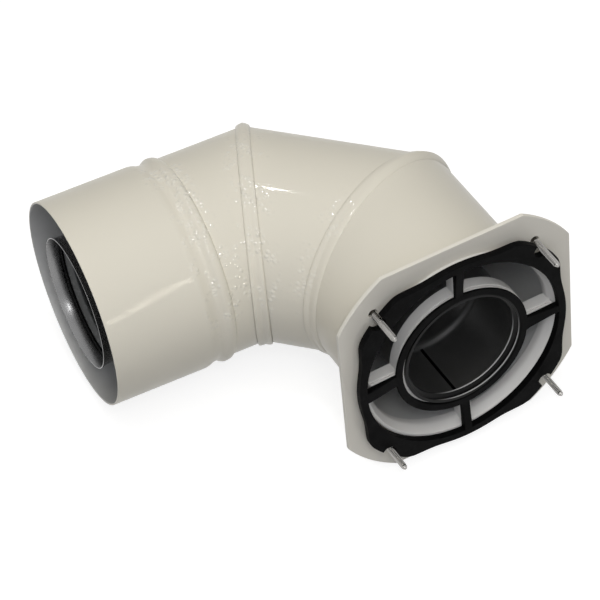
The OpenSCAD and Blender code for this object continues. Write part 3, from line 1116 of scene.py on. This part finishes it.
class ELBOW_OT_flue(ElbowPart, bpy.types.Operator):
    """Spin the flue's sockets and cut its sections to their mitres"""

    bl_idname = "elbow.flue"
    bl_label = "Flue duct"

    def execute(self, context):
        sizes, finish = self.parts(context)
        first, second = mitres(sizes)
        low, high = heading(FIRST_MITRE), heading(SECOND_MITRE)
        metal = drawn_metal(
            "flue_drawn_metal", finish.flue, MOUTH_ROUGHNESS, FLUE_SCRATCH_AXIS,
            scratch_depth=MOUTH_SCRATCH_DEPTH)
        dull = drawn_metal("flue_dull_metal", finish.soot, FLUE_ROUGHNESS, FLUE_SCRATCH_AXIS)
        # The inlet's metal takes the seal lips' black as painted shade in its lap seam's gap.
        lapped = drawn_metal(
            "flue_lapped_metal", finish.soot, FLUE_ROUGHNESS, FLUE_SCRATCH_AXIS, painted_lap_shade=finish.lip)
        wide = SOCKET_RADIUS + sizes.sheet
        inlet = turn_outline(
            sizes, Vector(), heading(0),
            [(wide, -1.58 * MM), (wide, 31 * MM), (sizes.flue_radius, 34 * MM),
             (sizes.flue_radius, first.y + 40 * MM)], rounds={1: 1, 2: 1})
        trim((first, low, "behind"))
        thicken(inlet, sizes.sheet)
        gap = (LAP_WIDTH, LAP_LENGTH, LAP_DEPTH)
        carve(inlet, block(gap, (LAP_PLACE.x, LAP_LENGTH / 2, LAP_PLACE.y), -QUARTER - LAP_ANGLE))
        smooth(inlet)
        hand_over(inlet, "flue_inlet_tube", ELBOW, lapped, ["flue_inlet"])
        gore = straight_tube(sizes, sizes.flue_radius, (first + second) / 2, BEND, FLUE_STOCK)
        trim((first, low, "ahead"), (second, high, "behind"))
        thicken(gore, sizes.sheet)
        smooth(gore)
        hand_over(gore, "flue_middle_tube", ELBOW, dull, ["flue_gore"])
        mouth = sizes.run_in - sizes.mouth_back
        outlet = turn_outline(
            sizes, second, MOUTH_AXIS,
            [(sizes.flue_radius, -40 * MM), (sizes.flue_radius, mouth - 44 * MM),
             *offsets(wide, mouth, (0, -41), (0, -15)),
             *offsets(
                 sizes.mouth_radius, mouth,
                 (0, -13), (0, -8), (-2.1, -6.5), (-2, -4), (-1.7, -2.2), (-1.1, 0))],
            rounds={1: 1, 2: 1, 3: 0.8, 4: 0.8, 5: 1, 6: 1, 7: 0.8, 8: 0.8})
        trim((second, high, "ahead"))
        thicken(outlet, 0.6 * sizes.sheet)
        soften(outlet, 0.15 * MM, segments=2, angle=60)
        smooth(outlet)
        hand_over(outlet, "flue_mouth_tube", ELBOW, metal, ["flue_mouth"])
        for name, cad_node, centre, turn in (
                ("flue_first_seam", "flue_seam_1", first, FIRST_MITRE),
                ("flue_second_seam", "flue_seam_2", second, SECOND_MITRE)):
            side = (2.2 * MM, 2.2)
            seam = mitre_bead(sizes, centre, turn, sizes.flue_radius, 1.2 * MM, side, side)
            smooth(seam, angle=60)
            hand_over(seam, name, ELBOW, dull, [cad_node])
        return {"FINISHED"}


class ELBOW_OT_clip(ElbowPart, bpy.types.Operator):
    """Finish the spring band that centres the flue"""

    bl_idname = "elbow.clip"
    bl_label = "Centring clip"

    def execute(self, context):
        finish = self.parts(context)[1]
        steel = drawn_metal("spring_strip_steel", finish.zinc, CLIP_ROUGHNESS, CLIP_SCRATCH_AXIS)
        clip = frame["nodes"]["centring_clip"]
        clip.data.materials.clear()
        clip.data.materials.append(steel)
        return {"FINISHED"}


class ELBOW_OT_screws(ElbowPart, bpy.types.Operator):
    """Spin one pan-head screw, wind its thread and copy it to the four holes"""

    bl_idname = "elbow.screws"
    bl_label = "Fixing screws"

    def execute(self, context):
        sizes, finish = self.parts(context)
        zinc = drawn_metal("bright_zinc", finish.zinc, SCREW_ROUGHNESS, SCREW_SCRATCH_AXIS)
        pattern = self.model(sizes)
        for name, (x, z) in zip(SCREWS, screw_places()):
            screw = pattern.copy()
            screw.data = pattern.data.copy()
            context.scene.collection.objects.link(screw)
            place(screw, (x, 0, z))
            hand_over(screw, "zinc_" + name, name, zinc, [name])
        drop(pattern)
        return {"FINISHED"}

    def model(self, sizes):
        """One screw on the Y axis, head behind the plate, tip in front."""
        tip = SCREW_LOW.y
        seat = SCREW_HIGH.y - sizes.head_height
        core = SCREW_RADIUS - 0.22 * MM
        top = SCREW_HIGH.y
        outline = [
            (0.0, tip), (0.7 * MM, tip), (core, tip + 0.9 * MM), (core, seat), (sizes.head_radius, seat),
            (sizes.head_radius, seat + MM), (0.68 * sizes.head_radius, top), (0.0, top)]
        body = turn_outline(
            sizes, Vector(), heading(0), outline,
            rounds={4: 0.15, 5: 0.5, 6: 0.5}, sides=SCREW_SIDES)
        for width, height in ((3.2 * MM, 0.8 * MM), (0.8 * MM, 3.2 * MM)):
            carve(body, block((width, 2.4 * MM, height), (0, top, 0)))
        choose(self.thread(sizes, core, tip), body)
        bpy.ops.object.join()
        smooth(body, angle=30)
        return body

    def thread(self, sizes, core, tip):
        """Helical ridge from the tip to the plate's face."""
        pitch = sizes.thread_pitch
        crest = SCREW_RADIUS
        foot = core - 0.1 * MM
        points = [
            Vector((foot, 0, 0)), Vector((crest, 0, 0.36 * pitch)),
            Vector((crest, 0, 0.46 * pitch)), Vector((foot, 0, 0.82 * pitch))]
        draw_outline(points, {}, True)
        ridge = end()
        turns = int((-tip - 1.2 * MM) / pitch) - 1
        modify(
            ridge, "SCREW", screw_offset=pitch, iterations=turns, steps=THREAD_STEPS,
            render_steps=THREAD_STEPS, use_merge_vertices=False, axis="Z", use_normal_calculate=True)
        begin("EDGE")
        bpy.ops.mesh.remove_doubles(threshold=THREAD_MERGE_REACH)
        bpy.ops.mesh.select_all(action="DESELECT")
        bpy.ops.mesh.select_non_manifold()
        bpy.ops.mesh.edge_face_add()
        bpy.ops.mesh.select_all(action="SELECT")
        bpy.ops.mesh.normals_make_consistent(inside=False)
        end()
        place(ridge, (0, tip + 1.1 * MM, 0), (-QUARTER, 0, 0))
        return ridge


class ELBOW_OT_stage(ElbowPart, bpy.types.Operator):
    """Lay the floor, hang the lights and set the camera"""

    bl_idname = "elbow.stage"
    bl_label = "Stage"

    def execute(self, context):
        finish = self.parts(context)[1]
        self.floor(finish)
        self.world(context, finish)
        self.lights(context)
        self.camera(context)
        context.scene.view_settings.view_transform = "Standard"
        return {"FINISHED"}

    def floor(self, finish):
        """Pale floor that shows white to the camera and keeps the shadow."""
        deselect()
        bpy.ops.mesh.primitive_plane_add(size=FLOOR_SIDE, location=(0, 0, CAD_BOX[0].z - FLOOR_GAP))
        floor = settle()
        floor.name = "floor"
        material, tree = start_material("pale_floor")[:2]
        matt = node(tree, "ShaderNodeBsdfDiffuse", {"Color": (*finish.floor, 1)})
        seen = background_rays(tree)
        glow = node(
            tree, "ShaderNodeEmission",
            {"Color": (1, 1, 1, 1), "Strength": math_node(tree, "MULTIPLY", seen, FLOOR_GLOW)})
        both = node(tree, "ShaderNodeAddShader", {0: matt.outputs[0], 1: glow.outputs[0]})
        node(tree, "ShaderNodeOutputMaterial", {"Surface": both.outputs[0]})
        floor.data.materials.append(material)

    def world(self, context, finish):
        """Dim surroundings, soft light from the front and from above, plain white to the camera."""
        world = bpy.data.worlds.new("studio")
        context.scene.world = world
        world.use_nodes = True
        tree = world.node_tree
        tree.nodes.clear()
        where = node(tree, "ShaderNodeTexCoord").outputs["Generated"]
        lit = node(
            tree, "ShaderNodeBackground", {"Color": (*finish.fill, 1), "Strength": FILL_LEVEL})
        for towards, level, tint in (
                (FRONT_TOWARDS, FRONT_LEVEL, finish.fill), (TOP_TOWARDS, TOP_LEVEL, finish.key)):
            facing = vector_node(tree, "DOT_PRODUCT", where, Vector(towards).normalized())
            share = math_node(tree, "POWER", math_node(tree, "MAXIMUM", facing, 0.0), SOFT_FOCUS)
            soft = node(
                tree, "ShaderNodeBackground",
                {"Color": (*tint, 1), "Strength": math_node(tree, "MULTIPLY", share, level)})
            lit = node(tree, "ShaderNodeAddShader", {0: lit.outputs[0], 1: soft.outputs[0]})
        plain = node(tree, "ShaderNodeBackground", {"Color": (1, 1, 1, 1), "Strength": 1.0})
        seen = background_rays(tree)
        shown = node(
            tree, "ShaderNodeMixShader", {0: seen, 1: lit.outputs[0], 2: plain.outputs[0]})
        node(tree, "ShaderNodeOutputWorld", {"Surface": shown.outputs[0]})

    def lights(self, context):
        """Small lamps for the streak, the paint's specks, the low line and the mouth's shine."""
        for name, spot, aim, along, length, width, power, tint in LAMPS:
            lamp = bpy.data.lights.new(name, "AREA")
            lamp.shape = "RECTANGLE"
            lamp.size = length
            lamp.size_y = width
            lamp.energy = power
            lamp.color = tint
            holder = bpy.data.objects.new(name, lamp)
            context.scene.collection.objects.link(holder)
            back = (Vector(spot) - Vector(aim)).normalized()
            across = back.cross(Vector(along)).normalized()
            turned = Matrix((across.cross(back), across, back)).transposed().to_4x4()
            turned.translation = Vector(spot) * MM
            holder.matrix_world = turned

    def camera(self, context):
        """Long lens at the photograph's angle."""
        azimuth, elevation, roll = (math.radians(turn) for turn in CAMERA_TURNS)
        back = Vector((
            math.sin(azimuth) * math.cos(elevation), -math.cos(azimuth) * math.cos(elevation),
            math.sin(elevation)))
        level = Vector((math.cos(azimuth), math.sin(azimuth), 0))
        right = math.cos(roll) * level + math.sin(roll) * back.cross(level)
        up = back.cross(right)
        lens = bpy.data.cameras.new("camera")
        lens.sensor_width = CAMERA_SENSOR
        lens.lens = CAMERA_LENS
        lens.clip_start = 0.05
        lens.clip_end = 50
        holder = bpy.data.objects.new("camera", lens)
        context.scene.collection.objects.link(holder)
        turned = Matrix((right, up, back)).transposed().to_4x4()
        turned.translation = CAMERA_AIM + back * CAMERA_DISTANCE
        holder.matrix_world = turned
        context.scene.camera = holder


STEPS = (
    ELBOW_OT_stage, ELBOW_OT_gores, ELBOW_OT_mitre_beads, ELBOW_OT_collar, ELBOW_OT_flange,
    ELBOW_OT_spider, ELBOW_OT_gasket, ELBOW_OT_seals, ELBOW_OT_flue, ELBOW_OT_clip, ELBOW_OT_screws)


class ELBOW_PT_panel(bpy.types.Panel):
    """Sidebar panel with the elbow's pieces, sizes and colours"""

    bl_idname = "ELBOW_PT_panel"
    bl_label = "Flue Elbow"
    bl_space_type = "VIEW_3D"
    bl_region_type = "UI"
    bl_category = "Flue Elbow"

    def draw(self, context):
        layout = self.layout
        for step in STEPS:
            layout.operator(step.bl_idname)
        for group in (context.scene.elbow_sizes, context.scene.elbow_finish):
            box = layout.box()
            for name in group.bl_rna.properties.keys():
                if name not in ("rna_type", "name"):
                    box.prop(group, name)


CLASSES = (ElbowSizes, ElbowFinish, *STEPS, ELBOW_PT_panel)


def register():
    """Add the classes and the scene's settings."""
    for added in CLASSES:
        bpy.utils.register_class(added)
    bpy.types.Scene.elbow_sizes = PointerProperty(type=ElbowSizes)
    bpy.types.Scene.elbow_finish = PointerProperty(type=ElbowFinish)


def unregister():
    """Remove the settings and the classes."""
    del bpy.types.Scene.elbow_finish
    del bpy.types.Scene.elbow_sizes
    for added in reversed(CLASSES):
        bpy.utils.unregister_class(added)


def main():
    """Build every piece in order."""
    register()
    for step in STEPS:
        family, action = step.bl_idname.split(".")
        getattr(getattr(bpy.ops, family), action)()
    deselect()


if __name__ == "__main__":
    main()
